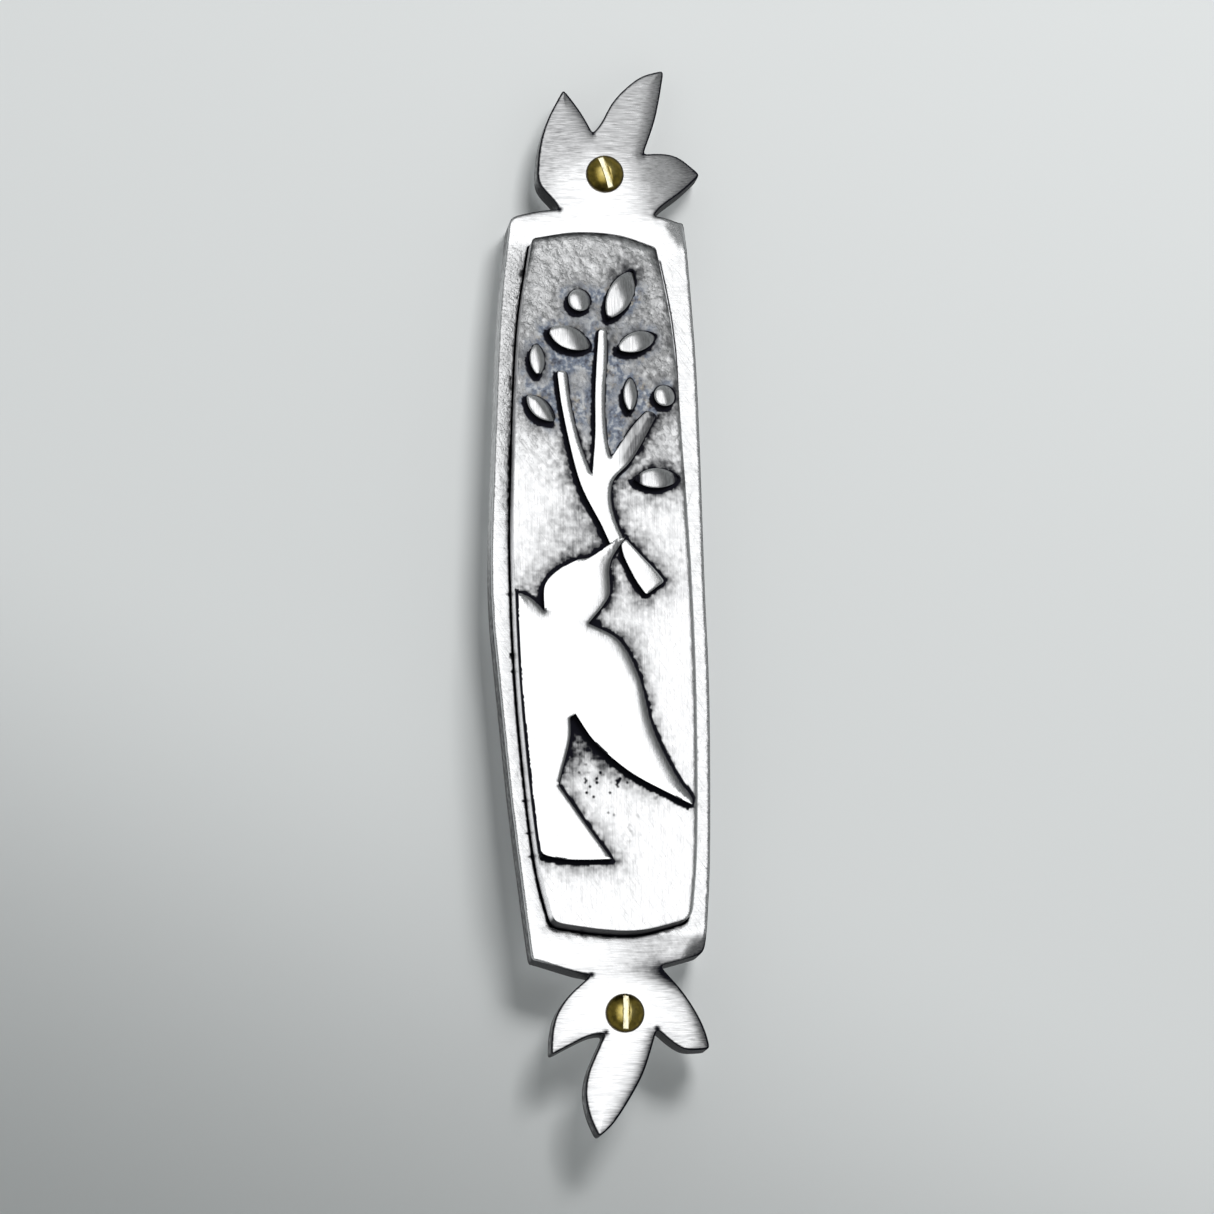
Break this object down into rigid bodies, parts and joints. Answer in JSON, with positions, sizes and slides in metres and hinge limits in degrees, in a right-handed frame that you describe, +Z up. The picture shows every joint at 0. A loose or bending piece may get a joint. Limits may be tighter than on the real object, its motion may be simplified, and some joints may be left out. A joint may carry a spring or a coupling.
{
  "type": "mezuzah case",
  "caption": "Long barrel-shaped metal doorpost case with leaf finials, a raised panel showing a dove and an olive branch, a rolled scroll inside and brass fixing screws.",
  "frame": {"origin": "on the back plane that rests against the doorpost, half-way between the two fixing screws", "axes": "+Z up along the case, the front faces -Y, +X to the right as seen from the front"},
  "size_m": [0.0289, 0.0226, 0.1413],
  "materials": {
    "antique_pewter": "cast pewter, brushed, with dark antique patina in the recesses",
    "relief_pewter": "cast pewter, bright brushed high points, blue-black patina round the relief",
    "grey_plastic": "fine moulded texture",
    "parchment": "matt scraped skin with faint mottling",
    "clear_film": "thin clear plastic film",
    "screw_brass": "polished yellow brass with brown tarnish"
  },
  "bodies": {
    "case": {"case_frame": "antique_pewter", "relief_panel": "relief_pewter"},
    "cover": {"back_cover": "grey_plastic"},
    "rolled_scroll": {"scroll": "parchment", "scroll_sleeve": "clear_film"},
    "upper_fixing": {"upper_screw": "screw_brass"},
    "lower_fixing": {"lower_screw": "screw_brass"}
  },
  "joints": [
    {"name": "cover_lift_off", "type": "slide", "parent": "case", "child": "cover", "axis": [0, 1, 0], "range_m": [0, 0.03]},
    {"name": "scroll_out", "type": "slide", "parent": "case", "child": "rolled_scroll", "axis": [0, 1, 0], "range_m": [0, 0.015]},
    {"name": "upper_screw_out", "type": "slide", "parent": "case", "child": "upper_fixing", "axis": [0, -1, 0], "range_m": [0, 0.02]},
    {"name": "lower_screw_out", "type": "slide", "parent": "case", "child": "lower_fixing", "axis": [0, -1, 0], "range_m": [0, 0.02]}
  ],
  "couplings": [
    {"joint": "scroll_out", "follows": "cover_lift_off", "ratio": 0.5}
  ]
}
